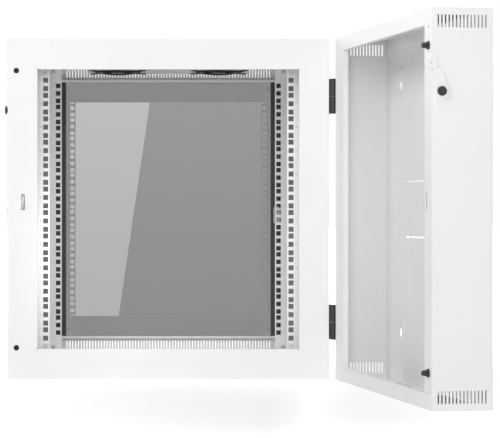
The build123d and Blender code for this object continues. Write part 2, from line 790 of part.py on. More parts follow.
def fan_housing(side):
    """Square fan frame with its bore, the motor cup on struts and the axle."""
    outline = RectangleRounded(fan_size, fan_size, fan_corner_radius)
    housing = extrude(outline, fan_thickness)
    housing -= Pos(0, 0, fan_thickness / 2) * Cylinder(fan_bore_radius, 2 * fan_thickness)
    cup_bottom = fan_thickness - fan_motor_cup_height
    strut_length = 2 * (fan_bore_radius + fan_strut_root)
    struts = Rectangle(strut_length, fan_strut_width)
    struts += Rectangle(fan_strut_width, strut_length)
    struts += Circle(fan_motor_cup_radius)
    housing += Pos(0, 0, cup_bottom) * extrude(struts, fan_motor_cup_height)
    axle_length = cup_bottom - fan_end_gap
    housing += Pos(0, 0, fan_end_gap + axle_length / 2) * Cylinder(fan_axle_radius, axle_length)
    return Pos(side * fan_from_middle, fan_y, fan_floor) * housing


def fan_rotor(side):
    """Hub with lofted blades, each twisted from root to tip."""
    hub_middle = fan_thickness - fan_motor_cup_height - fan_end_gap - fan_hub_height / 2
    rotor = Cylinder(fan_hub_radius, fan_hub_height)
    root = Plane.YZ.offset(fan_hub_radius - fan_blade_root_sink) * Rot(0, 0, 90 - fan_blade_root_pitch)
    tip = Plane.YZ.offset(fan_blade_radius) * Rot(0, 0, 90 - fan_blade_tip_pitch)
    blade = loft([
        root * Rectangle(fan_blade_thickness, fan_blade_root_chord),
        tip * Rectangle(fan_blade_thickness, fan_blade_tip_chord),
    ])
    for index in range(fan_blade_count):
        rotor += Rot(0, 0, index * 360 / fan_blade_count) * blade
    rotor -= Cylinder(fan_axle_radius + fan_axle_clearance, 2 * fan_hub_height)
    return Pos(side * fan_from_middle, fan_y, fan_floor + hub_middle) * rotor


def guard_drop(radius):
    """How far a guard's wires hang below the tray at a distance from the fan's middle."""
    run = guard_foot_radius - guard_ring_radii[0]
    return guard_dome * min(1, (guard_foot_radius - radius) / run)


def fan_guards():
    """Domed wire guards under the tray: rings on two crossed spokes that end in screw pads."""
    guards = []
    eye_reach = sqrt(2) * fan_screw_from_middle
    stations = [(eye_reach, 0), (guard_foot_radius, 0), (guard_ring_radii[0], guard_dome)]
    upper = [(x, -drop) for x, drop in stations] + [(-x, -drop) for x, drop in reversed(stations)]
    lower = [(x, z - guard_wire) for x, z in reversed(upper)]
    bent = Plane.XZ * Polygon(*upper, *lower, align=None)
    spoke = extrude(bent, guard_wire / 2, both=True)
    for side in (-1, 1):
        guard = Rot(0, 0, 45) * spoke + Rot(0, 0, -45) * spoke
        for radius in guard_ring_radii:
            ring = Circle(radius + guard_wire / 2) - Circle(radius - guard_wire / 2)
            guard += Pos(0, 0, -guard_drop(radius)) * extrude(ring, -guard_wire)
        for way in (-1, 1):
            for end in (-1, 1):
                place = Pos(way * fan_screw_from_middle, end * fan_screw_from_middle, -guard_wire / 2)
                guard += place * Rot(0, 0, 45) * Box(guard_pad_width, guard_pad_width, guard_wire)
        guards.append(Pos(side * fan_from_middle, fan_y, fan_tray_bottom) * guard)
    return guards


def lock_housing(length):
    """Face ring, threaded barrel and nut of a cam lock, its axis along +X and its face at 0."""
    housing = rod_x(lock_face_radius, 0, lock_face_height, 0, 0)
    housing = chamfer(housing.edges().group_by(Axis.X)[-1], lock_face_bevel)
    housing += rod_x(lock_barrel_radius, -length, 0, 0, 0)
    nut = extrude(Plane.YZ * RegularPolygon(lock_nut_radius, 6), lock_nut_height)
    nut_x = -casing_sheet - lock_nut_height
    housing += Pos(nut_x, 0, 0) * nut
    housing -= rod_x(lock_plug_radius + lock_plug_clearance,
                     -length - cut_over, lock_face_height + cut_over, 0, 0)
    return housing


def lock_plug(length, cam_thickness):
    """Turning plug with its key slot and the reduced end that carries the cam."""
    plug = rod_x(lock_plug_radius, -length, lock_face_height, 0, 0)
    plug -= block(lock_face_height - lock_key_slot_depth, lock_face_height + cut_over,
                  -lock_key_slot_width / 2, lock_key_slot_width / 2,
                  -lock_key_slot_length / 2, lock_key_slot_length / 2)
    plug += rod_x(lock_end_radius, -length - cam_thickness - lock_end_length, -length, 0, 0)
    return plug


def hook_barrel_length():
    """Length of the side lock's barrel, down to the plane of its hook."""
    return half_width - hook_x - hook_thickness / 2 - hook_play


def side_lock_hook():
    """Hook plate in its raised place: boss, shank and a slanted nose that grips the far flange."""
    grip = lock_from_rear + seam_gap + casing_sheet + hook_play
    tip = grip + hook_nose_thickness
    outline = Polygon((0, hook_shank_bottom), (grip, hook_shank_bottom), (grip, -hook_nose_drop),
                      (tip, hook_nose_slant - hook_nose_drop), (tip, hook_shank_top),
                      (0, hook_shank_top), align=None)
    outline += Circle(hook_boss_radius)
    outline -= Circle(lock_end_radius)
    hook = extrude(Plane.YZ * outline, hook_thickness / 2, both=True)
    return Pos(hook_x, lock_y, 0) * Rot(hook_raised_angle, 0, 0) * hook


def at_side_lock(piece):
    """Seats a lock piece in the free side post."""
    return Pos(half_width, lock_y, 0) * piece


def at_panel_lock(piece, side):
    """Seats a lock piece in a side panel, at the middle of its top edge."""
    middle_y = (front_post_end_y + rear_post_end_y) / 2
    seated = Pos(half_width, middle_y, panel_lock_z) * piece
    return seated if side > 0 else mirror(seated, Plane.YZ)


def panel_barrel_length():
    """Length of a panel lock's barrel, which sets its cam just behind the top flange."""
    return casing_sheet + panel_cam_gap


def panel_cam():
    """Cam of a side panel's lock, upright behind the top flange."""
    outline = Pos(0, panel_cam_reach / 2) * Rectangle(panel_cam_width, panel_cam_reach)
    outline += Circle(panel_cam_width / 2)
    outline -= Circle(lock_end_radius)
    inner_x = -panel_barrel_length() - panel_cam_thickness
    return Pos(inner_x, 0, 0) * extrude(Plane.YZ * outline, panel_cam_thickness)


def panel_lock_housing():
    """Face ring and short barrel of a side panel's lock, without a nut."""
    housing = rod_x(lock_face_radius, 0, lock_face_height, 0, 0)
    housing = chamfer(housing.edges().group_by(Axis.X)[-1], lock_face_bevel)
    length = panel_barrel_length()
    housing += rod_x(lock_barrel_radius, -length, 0, 0, 0)
    housing -= rod_x(lock_plug_radius + lock_plug_clearance,
                     -length - cut_over, lock_face_height + cut_over, 0, 0)
    return housing


def door_profile_outline():
    """Cross-section of a door profile: rounded outer edge and a seat for the glass."""
    radius = door_profile_depth / 2
    inner = door_half_width - door_profile_width
    middle_x = (inner + door_pivot_x) / 2
    outline = Pos(door_pivot_x, door_pivot_y) * Circle(radius)
    outline += Pos(middle_x, door_pivot_y) * Rectangle(door_pivot_x - inner, door_profile_depth)
    seat_depth = door_glass_thickness + 2 * door_glass_play
    seat_y = body_front_y + door_glass_inset + seat_depth / 2
    return outline - Pos(inner, seat_y) * Rectangle(2 * door_glass_capture, seat_depth)


def door_profile(side):
    """Steel side profile of the door, hollow behind the seat of the glass."""
    inner = door_half_width - door_profile_width
    glass_back = door_glass_inset + door_glass_thickness + 2 * door_glass_play
    core_depth = door_profile_depth - glass_back - 2 * door_profile_wall
    core_width = door_pivot_x - inner - door_profile_wall
    core_x = inner + door_profile_wall + core_width / 2
    core_y = body_front_y + glass_back + door_profile_wall + core_depth / 2
    outline = door_profile_outline() - Pos(core_x, core_y) * Rectangle(core_width, core_depth)
    half_tall = door_half_height - door_cap_thickness
    profile = Pos(0, 0, -half_tall) * extrude(outline, 2 * half_tall)
    if side < 0:
        profile = mirror(profile, Plane.YZ)
        profile -= rod_y(lock_barrel_radius, -door_lock_x, body_front_y - cut_over,
                         body_front_y + door_profile_depth + cut_over, 0)
    return profile


def door_end_caps():
    """Plastic caps that close the profiles' ends and leave the seat of the glass open."""
    caps = []
    for side in (-1, 1):
        for end in (-1, 1):
            low = min(end * door_half_height, end * (door_half_height - door_cap_thickness))
            cap = Pos(0, 0, low) * extrude(door_profile_outline(), door_cap_thickness)
            if side > 0:
                cap -= rod_z(door_pivot_radius, door_pivot_x, door_pivot_y, low - cut_over,
                             low + door_cap_thickness + cut_over)
            caps.append(cap if side > 0 else mirror(cap, Plane.YZ))
    return caps


def door_pivot_pins():
    """Upright pins at the hinge side's ends, standing in the frame's folded edges."""
    pins = []
    for end in (-1, 1):
        inner_z = end * (door_half_height - door_cap_thickness)
        outer_z = end * (door_half_height + door_pivot_length - door_cap_thickness)
        pins.append(rod_z(door_pivot_radius, door_pivot_x, door_pivot_y, inner_z, outer_z))
    return pins


def door_glass():
    """Toughened glass pane, seated in both profiles and free at its top and bottom."""
    half = door_half_width - door_profile_width + door_glass_capture - door_glass_play
    y0 = body_front_y + door_glass_inset + door_glass_play
    half_tall = door_half_height - door_glass_from_end
    return block(-half, half, y0, y0 + door_glass_thickness, -half_tall, half_tall)


def door_barrel_length():
    """Length of the door lock's barrel, which sets its cam just behind the frame's lip."""
    return door_return_depth + door_cam_gap


def door_lock_frame(piece):
    """Turns a lock piece to face the front and seats it in the door's free profile."""
    return Pos(-door_lock_x, body_front_y, 0) * Rot(0, 0, -90) * piece


def door_lock_housing():
    """Face ring and barrel of the door lock."""
    housing = rod_x(lock_face_radius, 0, lock_face_height, 0, 0)
    housing = chamfer(housing.edges().group_by(Axis.X)[-1], lock_face_bevel)
    housing += rod_x(lock_barrel_radius, -door_barrel_length(), 0, 0, 0)
    housing -= rod_x(lock_plug_radius + lock_plug_clearance, -door_barrel_length() - cut_over,
                     lock_face_height + cut_over, 0, 0)
    return door_lock_frame(housing)


def door_lock_cam():
    """Cam of the door lock, hanging straight down inside the door's edge when it is unlocked."""
    outline = Pos(0, -door_cam_reach / 2) * Rectangle(door_cam_width, door_cam_reach)
    outline += Circle(door_cam_width / 2)
    outline -= Circle(lock_end_radius)
    inner_x = -door_barrel_length() - door_cam_thickness
    return door_lock_frame(Pos(inner_x, 0, 0) * extrude(Plane.YZ * outline, door_cam_thickness))


def swung(piece):
    """Turns a closed-position body piece about the hinge to the open position."""
    turn = Pos(hinge_x, hinge_y, 0) * Rot(0, 0, -open_angle) * Pos(-hinge_x, -hinge_y, 0)
    return turn * piece


def fixed_nodes():
    """Everything that stays on the wall, and the hasp arm that it carries."""
    return {
        "wall_frame": wall_frame(),
        "wall_back_panel": wall_back_panel(),
        "cable_entry_frames": entry_frames(),
        "cable_entry_brushes": entry_brushes(),
        "alignment_pegs": alignment_pegs(),
        "wall_hinge_leaves": hinge_leaves(wall_side=True),
        "hinge_pins": hinge_pins(),
        "hasp_pivot": hasp_pivot(),
        "hasp_arm": hasp_arm(),
    }


def swinging_nodes():
    """Everything that swings with the body, modelled closed."""
    panel_length = panel_barrel_length()
    panel_plug = lock_plug(panel_length, panel_cam_thickness)
    return {
        "rear_frame": rear_frame(),
        "front_frame": front_frame(),
        "top_panel": top_panel(),
        "bottom_panel": end_panel(-1),
        "side_panel_free_side": side_panel(1),
        "side_panel_hinge_side": side_panel(-1),
        "top_cable_cover": cable_cover(1),
        "bottom_cable_cover": cable_cover(-1),
        "rear_rail_free_side": rail(1, rear_rail_y, -1),
        "rear_rail_hinge_side": rail(-1, rear_rail_y, -1),
        "front_rail_free_side": rail(1, front_rail_y, 1),
        "front_rail_hinge_side": rail(-1, front_rail_y, 1),
        "rail_brackets": rail_brackets(),
        "rail_screws": rail_screws(),
        "fan_tray": fan_tray(),
        "fan_housing_free_side": fan_housing(1),
        "fan_housing_hinge_side": fan_housing(-1),
        "fan_guards": fan_guards(),
        "fan_rotor_free_side": fan_rotor(1),
        "fan_rotor_hinge_side": fan_rotor(-1),
        "body_hinge_leaves": hinge_leaves(wall_side=False),
        "keeper_stud": keeper_stud(),
        "side_lock_housing": at_side_lock(lock_housing(hook_barrel_length())),
        "side_lock_plug": at_side_lock(lock_plug(hook_barrel_length() + hook_play, hook_thickness)),
        "side_lock_hook": side_lock_hook(),
        "panel_lock_housings": [at_panel_lock(panel_lock_housing(), side) for side in (-1, 1)],
        "panel_lock_plug_free_side": at_panel_lock(panel_plug, 1),
        "panel_lock_plug_hinge_side": at_panel_lock(panel_plug, -1),
        "panel_lock_cam_free_side": at_panel_lock(panel_cam(), 1),
        "panel_lock_cam_hinge_side": at_panel_lock(panel_cam(), -1),
        "door_profile_hinge_side": door_profile(1),
        "door_profile_lock_side": door_profile(-1),
        "door_end_caps": door_end_caps(),
        "door_pivot_pins": door_pivot_pins(),
        "door_glass": door_glass(),
        "door_lock_housing": door_lock_housing(),
        "door_lock_plug": door_lock_frame(lock_plug(door_barrel_length(), door_cam_thickness)),
        "door_lock_cam": door_lock_cam(),
    }


def write_node(name, pieces):
    """Writes one node's solids to its own file."""
    listed = pieces if isinstance(pieces, list) else [pieces]
    solids = [solid for piece in listed for solid in piece.solids()]
    whole = Compound(children=solids) if len(solids) > 1 else solids[0]
    export_step(whole, os.path.join("parts", name + ".step"))


os.makedirs("parts", exist_ok=True)
for node_name, node_pieces in fixed_nodes().items():
    write_node(node_name, node_pieces)
for node_name, node_pieces in swinging_nodes().items():
    closed = node_pieces if isinstance(node_pieces, list) else [node_pieces]
    write_node(node_name, [swung(piece) for piece in closed])
print("hasp latches after", round(hasp_latch_angle(), 2), "degrees")
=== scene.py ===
import json
import math

import bpy
from mathutils import Matrix, Vector


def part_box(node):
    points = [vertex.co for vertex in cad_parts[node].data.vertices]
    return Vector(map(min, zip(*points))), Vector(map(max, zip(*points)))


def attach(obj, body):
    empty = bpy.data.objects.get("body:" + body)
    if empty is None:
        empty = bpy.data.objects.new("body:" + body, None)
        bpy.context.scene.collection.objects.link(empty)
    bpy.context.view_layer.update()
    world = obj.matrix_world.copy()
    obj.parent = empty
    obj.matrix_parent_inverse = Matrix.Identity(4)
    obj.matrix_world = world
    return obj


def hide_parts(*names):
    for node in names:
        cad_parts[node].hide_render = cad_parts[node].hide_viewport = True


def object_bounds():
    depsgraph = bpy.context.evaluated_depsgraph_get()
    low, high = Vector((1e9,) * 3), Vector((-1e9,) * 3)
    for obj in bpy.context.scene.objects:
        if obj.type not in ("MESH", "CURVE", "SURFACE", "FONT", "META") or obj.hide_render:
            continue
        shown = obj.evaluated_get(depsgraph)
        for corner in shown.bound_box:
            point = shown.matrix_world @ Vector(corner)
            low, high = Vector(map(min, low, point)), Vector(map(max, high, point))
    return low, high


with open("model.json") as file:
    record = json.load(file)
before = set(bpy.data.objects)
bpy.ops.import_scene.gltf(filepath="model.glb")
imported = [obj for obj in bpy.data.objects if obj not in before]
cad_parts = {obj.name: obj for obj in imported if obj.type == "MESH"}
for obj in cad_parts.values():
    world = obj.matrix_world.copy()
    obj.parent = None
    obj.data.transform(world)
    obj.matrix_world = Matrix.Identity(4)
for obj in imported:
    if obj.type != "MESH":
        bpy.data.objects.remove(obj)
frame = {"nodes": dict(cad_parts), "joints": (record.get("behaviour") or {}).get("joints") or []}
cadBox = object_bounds()
mm = 0.001


# The body hangs open on its hinge. Its pieces are placed as if it were closed, then swung by this turn.
bodySwing = next(joint for joint in frame["joints"] if joint["name"] == "body_swing")
openAngle = math.radians(bodySwing["range_deg"][1])
hingePoint = Vector(bodySwing["pos_m"])
closedToOpen = (Matrix.Translation(hingePoint) @ Matrix.Rotation(-openAngle, 4, "Z")
                @ Matrix.Translation(-hingePoint))


def closedBox(node):
    turnBack = closedToOpen.inverted()
    points = [turnBack @ vertex.co for vertex in frame["nodes"][node].data.vertices]
    low = Vector([min(point[axis] for point in points) for axis in range(3)])
    high = Vector([max(point[axis] for point in points) for axis in range(3)])
    return low, high


def bodyPlace(x, y, z):
    return closedToOpen @ Vector((x, y, z))


def addNode(tree, kind, inputs=None, **settings):
    node = tree.nodes.new(kind)
    for name, value in settings.items():
        setattr(node, name, value)
    for key, value in (inputs or {}).items():
        if isinstance(value, bpy.types.NodeSocket):
            tree.links.new(value, node.inputs[key])
        else:
            node.inputs[key].default_value = value
    return node


def calc(tree, operation, first, second=0.0):
    return addNode(tree, "ShaderNodeMath", {0: first, 1: second}, operation=operation).outputs[0]


def mixColour(tree, amount, first, second):
    return addNode(tree, "ShaderNodeMix", {0: amount, 6: first, 7: second}, data_type="RGBA").outputs[2]


def newTree(name, kind, inputs, outputs):
    tree = bpy.data.node_groups.new(name, kind)
    for label, socketType, value in inputs:
        socket = tree.interface.new_socket(label, in_out="INPUT", socket_type=socketType)
        if value is not None:
            socket.default_value = value
    for label, socketType in outputs:
        tree.interface.new_socket(label, in_out="OUTPUT", socket_type=socketType)
    return tree, addNode(tree, "NodeGroupInput").outputs, addNode(tree, "NodeGroupOutput").inputs


# Effects that several finishes share

effectSettings = {
    "grainDetail": 2.0, "driftScale": 7.0, "driftDetail": 3.0, "driftFrom": 0.35, "driftTo": 0.7,
    # The bevel samples and the two bounds after them shape the mask of the painted edge highlight
    "edgeSamples": 4, "highlightFrom": 0.99, "highlightTo": 0.8, "lineDetail": 3.0, "bumpStrength": 0.5,
}


def coatGrainGroup():
    # A fine stipple in the surface, and a slow drift of tone across it
    tree, given, made = newTree("coatGrain", "ShaderNodeTree", [
        ("Base Color", "NodeSocketColor", (0.8, 0.8, 0.8, 1)),
        ("Tone Color", "NodeSocketColor", (0.7, 0.7, 0.7, 1)),
        ("Tone Amount", "NodeSocketFloat", 0.3),
        ("Grain Size", "NodeSocketFloat", 1.0),
        ("Roughness", "NodeSocketFloat", 0.5),
        ("Roughness Spread", "NodeSocketFloat", 0.1),
    ], [("Color", "NodeSocketColor"), ("Roughness", "NodeSocketFloat"), ("Height", "NodeSocketFloat")])
    place = addNode(tree, "ShaderNodeTexCoord").outputs["Object"]
    grainScale = calc(tree, "DIVIDE", 1 / mm, given["Grain Size"])
    grain = addNode(tree, "ShaderNodeTexNoise", {"Vector": place, "Scale": grainScale,
                                                 "Detail": effectSettings["grainDetail"]})
    drift = addNode(tree, "ShaderNodeTexNoise", {"Vector": place, "Scale": effectSettings["driftScale"],
                                                 "Detail": effectSettings["driftDetail"]})
    drifted = addNode(tree, "ShaderNodeMapRange", {
        "Value": drift.outputs[0], "From Min": effectSettings["driftFrom"],
        "From Max": effectSettings["driftTo"]}).outputs[0]
    amount = calc(tree, "MULTIPLY", drifted, given["Tone Amount"])
    tree.links.new(mixColour(tree, amount, given["Base Color"], given["Tone Color"]), made["Color"])
    swing = calc(tree, "MULTIPLY", calc(tree, "SUBTRACT", grain.outputs[0], 0.5), given["Roughness Spread"])
    tree.links.new(calc(tree, "ADD", given["Roughness"], swing), made["Roughness"])
    tree.links.new(grain.outputs[0], made["Height"])
    return tree


def edgeWearGroup():
    # Painted highlight: the coat turns lighter along folded and cut edges, as if they caught the light; the
    # rounded edge normal goes out as well
    tree, given, made = newTree("paintedEdgeHighlight", "ShaderNodeTree", [
        ("Color", "NodeSocketColor", (0.8, 0.8, 0.8, 1)),
        ("Edge Highlight Color", "NodeSocketColor", (0.9, 0.9, 0.9, 1)),
        ("Edge Radius", "NodeSocketFloat", 1.0),
        ("Edge Highlight Amount", "NodeSocketFloat", 0.3),
    ], [("Color", "NodeSocketColor"), ("Mask", "NodeSocketFloat"), ("Normal", "NodeSocketVector")])
    radius = calc(tree, "MULTIPLY", given["Edge Radius"], mm)
    rounded = addNode(tree, "ShaderNodeBevel", {"Radius": radius},
                      samples=effectSettings["edgeSamples"]).outputs[0]
    flat = addNode(tree, "ShaderNodeNewGeometry").outputs["Normal"]
    facing = addNode(tree, "ShaderNodeVectorMath", {0: rounded, 1: flat}, operation="DOT_PRODUCT")
    mask = addNode(tree, "ShaderNodeMapRange", {
        "Value": facing.outputs["Value"], "From Min": effectSettings["highlightFrom"],
        "From Max": effectSettings["highlightTo"]}).outputs[0]
    amount = calc(tree, "MULTIPLY", mask, given["Edge Highlight Amount"])
    tree.links.new(mixColour(tree, amount, given["Color"], given["Edge Highlight Color"]), made["Color"])
    tree.links.new(mask, made["Mask"])
    tree.links.new(rounded, made["Normal"])
    return tree


def drawnMetalGroup():
    # Fine lines left by drawing or polishing, along Z
    tree, given, made = newTree("drawnMetal", "ShaderNodeTree", [
        ("Base Color", "NodeSocketColor", (0.7, 0.7, 0.7, 1)),
        ("Line Color", "NodeSocketColor", (0.5, 0.5, 0.5, 1)),
        ("Line Spacing", "NodeSocketFloat", 0.3),
        ("Line Stretch", "NodeSocketFloat", 0.06),
        ("Roughness", "NodeSocketFloat", 0.3),
        ("Roughness Spread", "NodeSocketFloat", 0.15),
    ], [("Color", "NodeSocketColor"), ("Roughness", "NodeSocketFloat"), ("Height", "NodeSocketFloat")])
    place = addNode(tree, "ShaderNodeTexCoord").outputs["Object"]
    squeeze = addNode(tree, "ShaderNodeCombineXYZ", {0: 1.0, 1: 1.0, 2: given["Line Stretch"]}).outputs[0]
    stretched = addNode(tree, "ShaderNodeVectorMath", {0: place, 1: squeeze}, operation="MULTIPLY")
    lineScale = calc(tree, "DIVIDE", 1 / mm, given["Line Spacing"])
    lines = addNode(tree, "ShaderNodeTexNoise", {"Vector": stretched.outputs[0], "Scale": lineScale,
                                                 "Detail": effectSettings["lineDetail"]}).outputs[0]
    tree.links.new(mixColour(tree, lines, given["Base Color"], given["Line Color"]), made["Color"])
    swing = calc(tree, "MULTIPLY", calc(tree, "SUBTRACT", lines, 0.5), given["Roughness Spread"])
    tree.links.new(calc(tree, "ADD", given["Roughness"], swing), made["Roughness"])
    tree.links.new(lines, made["Height"])
    return tree


coatGrain = coatGrainGroup()
paintedEdgeHighlight = edgeWearGroup()
drawnMetal = drawnMetalGroup()
print("shared effects built")


# Finishes: colours are linear, and grain, edge radius, line spacing and bump are in millimetres

# Each coat's edge colour and edge amount paint a lighter highlight along its folded and cut edges
coatSettings = {
    "casePaint": {"colour": (0.86, 0.86, 0.865, 1), "tone": (0.82, 0.82, 0.83, 1), "toneAmount": 0.35,
                  "grain": 1.1, "roughness": 0.5, "spread": 0.12, "bump": 0.05,
                  "edge": (0.93, 0.93, 0.93, 1), "edgeRadius": 0.9, "edgeAmount": 0.5},
    "railPaint": {"colour": (0.90, 0.90, 0.905, 1), "tone": (0.86, 0.86, 0.865, 1), "toneAmount": 0.4,
                  "grain": 0.8, "roughness": 0.42, "spread": 0.12, "bump": 0.04,
                  "edge": (0.94, 0.94, 0.94, 1), "edgeRadius": 0.5, "edgeAmount": 0.5},
    "entryPlastic": {"colour": (0.012, 0.012, 0.013, 1), "tone": (0.02, 0.02, 0.021, 1),
                     "toneAmount": 0.5, "grain": 0.5, "roughness": 0.5, "spread": 0.15, "bump": 0.05,
                     "edge": (0.05, 0.05, 0.05, 1), "edgeRadius": 0.3, "edgeAmount": 0.4,
                     "hingeSide": (0.84, 0.84, 0.845, 1)},
    "blackCasting": {"colour": (0.022, 0.022, 0.023, 1), "tone": (0.035, 0.035, 0.036, 1),
                     "toneAmount": 0.6, "grain": 0.7, "roughness": 0.42, "spread": 0.2, "bump": 0.08,
                     "edge": (0.11, 0.11, 0.112, 1), "edgeRadius": 0.6, "edgeAmount": 0.6},
    "blackPlastic": {"colour": (0.018, 0.018, 0.019, 1), "tone": (0.028, 0.028, 0.029, 1),
                     "toneAmount": 0.5, "grain": 0.5, "roughness": 0.48, "spread": 0.15, "bump": 0.05,
                     "edge": (0.06, 0.06, 0.062, 1), "edgeRadius": 0.4, "edgeAmount": 0.5},
    "fanPlastic": {"colour": (0.02, 0.02, 0.021, 1), "tone": (0.034, 0.034, 0.034, 1),
                   "toneAmount": 0.6, "grain": 0.6, "roughness": 0.55, "spread": 0.2, "bump": 0.08,
                   "edge": (0.07, 0.07, 0.072, 1), "edgeRadius": 0.4, "edgeAmount": 0.5},
    "bristleBlack": {"colour": (0.012, 0.012, 0.013, 1), "tone": (0.03, 0.03, 0.03, 1),
                     "toneAmount": 0.8, "grain": 0.6, "roughness": 0.6, "spread": 0.2, "bump": 0.05,
                     "edge": (0.04, 0.04, 0.04, 1), "edgeRadius": 0.1, "edgeAmount": 0.3},
    "printInk": {"colour": (0.09, 0.09, 0.095, 1), "tone": (0.14, 0.14, 0.145, 1), "toneAmount": 0.7,
                 "grain": 0.35, "roughness": 0.6, "spread": 0.2, "bump": 0.02,
                 "edge": (0.12, 0.12, 0.12, 1), "edgeRadius": 0.05, "edgeAmount": 0.2},
    "profilePaint": {"colour": (0.060, 0.061, 0.064, 1), "tone": (0.05, 0.051, 0.053, 1), "toneAmount": 0.4,
                     "grain": 0.7, "roughness": 0.4, "spread": 0.12, "bump": 0.04,
                     "edge": (0.16, 0.16, 0.165, 1), "edgeRadius": 0.5, "edgeAmount": 0.5},
    # Grey of the strips behind the front rails: painted shade
    "paintedShadeGrey": {"colour": (0.20, 0.201, 0.205, 1), "tone": (0.17, 0.171, 0.175, 1), "toneAmount": 0.4,
                    "grain": 0.6, "roughness": 0.5, "spread": 0.15, "bump": 0.05,
                    "edge": (0.22, 0.22, 0.225, 1), "edgeRadius": 0.4, "edgeAmount": 0.5},
}
metalSettings = {
    "zincSteel": {"colour": (0.66, 0.67, 0.68, 1), "line": (0.52, 0.53, 0.55, 1), "spacing": 0.25,
                  "stretch": 0.15, "roughness": 0.33, "spread": 0.25, "bump": 0.04},
    "lockChrome": {"colour": (0.80, 0.80, 0.82, 1), "line": (0.72, 0.72, 0.74, 1), "spacing": 0.18,
                   "stretch": 0.3, "roughness": 0.16, "spread": 0.14, "bump": 0.02},
}
glassSettings = {"tint": (0.270, 0.272, 0.276, 1), "filmTint": (0.280, 0.282, 0.285, 1), "filmScale": 5.0,
                 "filmDetail": 4.0, "index": 2.2, "roughness": 0.0}


def newMaterial(name):
    material = bpy.data.materials.new(name)
    material.use_nodes = True
    tree = material.node_tree
    tree.nodes.clear()
    shader = addNode(tree, "ShaderNodeBsdfPrincipled")
    addNode(tree, "ShaderNodeOutputMaterial", {"Surface": shader.outputs[0]})
    return material, tree, shader


def coatMaterial(name):
    given = coatSettings[name]
    material, tree, shader = newMaterial(name)
    grain = addNode(tree, "ShaderNodeGroup", node_tree=coatGrain)
    # Painted highlight along folded and cut edges, together with a rounded edge normal
    highlighted = addNode(tree, "ShaderNodeGroup", node_tree=paintedEdgeHighlight)
    for label, value in (("Base Color", given["colour"]), ("Tone Color", given["tone"]),
                         ("Tone Amount", given["toneAmount"]), ("Grain Size", given["grain"]),
                         ("Roughness", given["roughness"]), ("Roughness Spread", given["spread"])):
        grain.inputs[label].default_value = value
    for label, value in (("Edge Highlight Color", given["edge"]), ("Edge Radius", given["edgeRadius"]),
                         ("Edge Highlight Amount", given["edgeAmount"])):
        highlighted.inputs[label].default_value = value
    tree.links.new(grain.outputs["Color"], highlighted.inputs["Color"])
    coated = highlighted.outputs["Color"]
    if "hingeSide" in given:
        # The pair nearer the hinges is painted like the casing
        place = addNode(tree, "ShaderNodeTexCoord").outputs["Object"]
        across = addNode(tree, "ShaderNodeSeparateXYZ", {0: place}).outputs["X"]
        onHingeSide = calc(tree, "LESS_THAN", across, 0.0)
        coated = mixColour(tree, onHingeSide, coated, given["hingeSide"])
    tree.links.new(coated, shader.inputs["Base Color"])
    tree.links.new(grain.outputs["Roughness"], shader.inputs["Roughness"])
    bump = addNode(tree, "ShaderNodeBump", {
        "Height": grain.outputs["Height"], "Normal": highlighted.outputs["Normal"],
        "Strength": effectSettings["bumpStrength"], "Distance": given["bump"] * mm})
    tree.links.new(bump.outputs[0], shader.inputs["Normal"])
    return material


def metalMaterial(name):
    given = metalSettings[name]
    material, tree, shader = newMaterial(name)
    drawn = addNode(tree, "ShaderNodeGroup", node_tree=drawnMetal)
    for label, value in (("Base Color", given["colour"]), ("Line Color", given["line"]),
                         ("Line Spacing", given["spacing"]), ("Line Stretch", given["stretch"]),
                         ("Roughness", given["roughness"]), ("Roughness Spread", given["spread"])):
        drawn.inputs[label].default_value = value
    tree.links.new(drawn.outputs["Color"], shader.inputs["Base Color"])
    tree.links.new(drawn.outputs["Roughness"], shader.inputs["Roughness"])
    shader.inputs["Metallic"].default_value = 1.0
    bump = addNode(tree, "ShaderNodeBump", {
        "Height": drawn.outputs["Height"], "Strength": effectSettings["bumpStrength"],
        "Distance": given["bump"] * mm})
    tree.links.new(bump.outputs[0], shader.inputs["Normal"])
    return material


def glassMaterial():
    # Smoke-grey pane, with a faint uneven film on it
    given = glassSettings
    material, tree, shader = newMaterial("smokeGlass")
    place = addNode(tree, "ShaderNodeTexCoord").outputs["Object"]
    film = addNode(tree, "ShaderNodeTexNoise", {"Vector": place, "Scale": given["filmScale"],
                                                "Detail": given["filmDetail"]}).outputs[0]
    tree.links.new(mixColour(tree, film, given["tint"], given["filmTint"]), shader.inputs["Base Color"])
    shader.inputs["Roughness"].default_value = given["roughness"]
    shader.inputs["IOR"].default_value = given["index"]
    shader.inputs["Transmission Weight"].default_value = 1.0
    return material


finishes = {name: coatMaterial(name) for name in coatSettings}
finishes.update({name: metalMaterial(name) for name in metalSettings})
finishes["smokeGlass"] = glassMaterial()

slotFinish = {
    "case_paint": "casePaint", "rail_paint": "railPaint", "black_casting": "blackCasting",
    "black_plastic": "blackPlastic", "fan_plastic": "fanPlastic", "brush_bristle": "bristleBlack",
    "zinc_steel": "zincSteel", "lock_chrome": "lockChrome", "tinted_glass": "smokeGlass",
    "profile_paint": "profilePaint",
}


def dressFrame():
    for name, node in frame["nodes"].items():
        for materialSlot in node.material_slots:
            given = materialSlot.material.name.split(".")[0]
            materialSlot.material = finishes[slotFinish[given]]
    frame["nodes"]["cable_entry_frames"].material_slots[0].material = finishes["entryPlastic"]


dressFrame()
print("finishes on the frame:", len(finishes))


# Small pieces that repeat: one copy of a pattern on each point, its Z turned to the way the point faces

